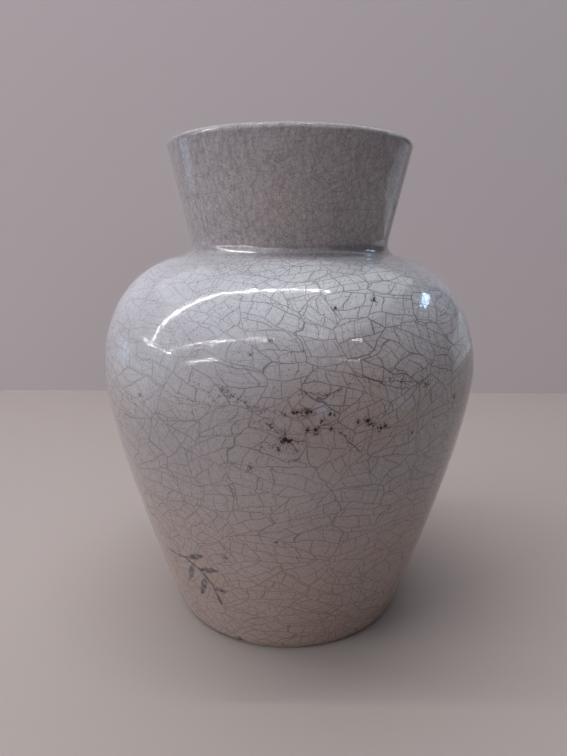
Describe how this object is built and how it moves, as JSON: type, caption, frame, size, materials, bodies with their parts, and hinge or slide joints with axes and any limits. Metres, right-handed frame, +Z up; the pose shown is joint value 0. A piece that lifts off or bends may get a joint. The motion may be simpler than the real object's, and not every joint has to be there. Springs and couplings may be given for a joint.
{
  "type": "snuff jar",
  "caption": "Crazed, glazed earthenware jar with a small foot, a high round shoulder and a straight flared collar with a rounded lip.",
  "frame": {"origin": "centre of the foot, on the surface that the jar stands on", "axes": "+Z up along the pot's axis; -Y faces the viewer of the picture"},
  "size_m": [0.1666, 0.1666, 0.21],
  "materials": {
    "clay": "matt bare earthenware",
    "crazed_glaze": "gloss glaze, finely crazed, with stained cracks and speckle",
    "pool_glaze": "gloss glaze, faintly crazed"
  },
  "bodies": {
    "root": {"clay_body": "clay", "outer_glaze": "crazed_glaze", "inner_glaze": "pool_glaze"}
  },
  "joints": []
}
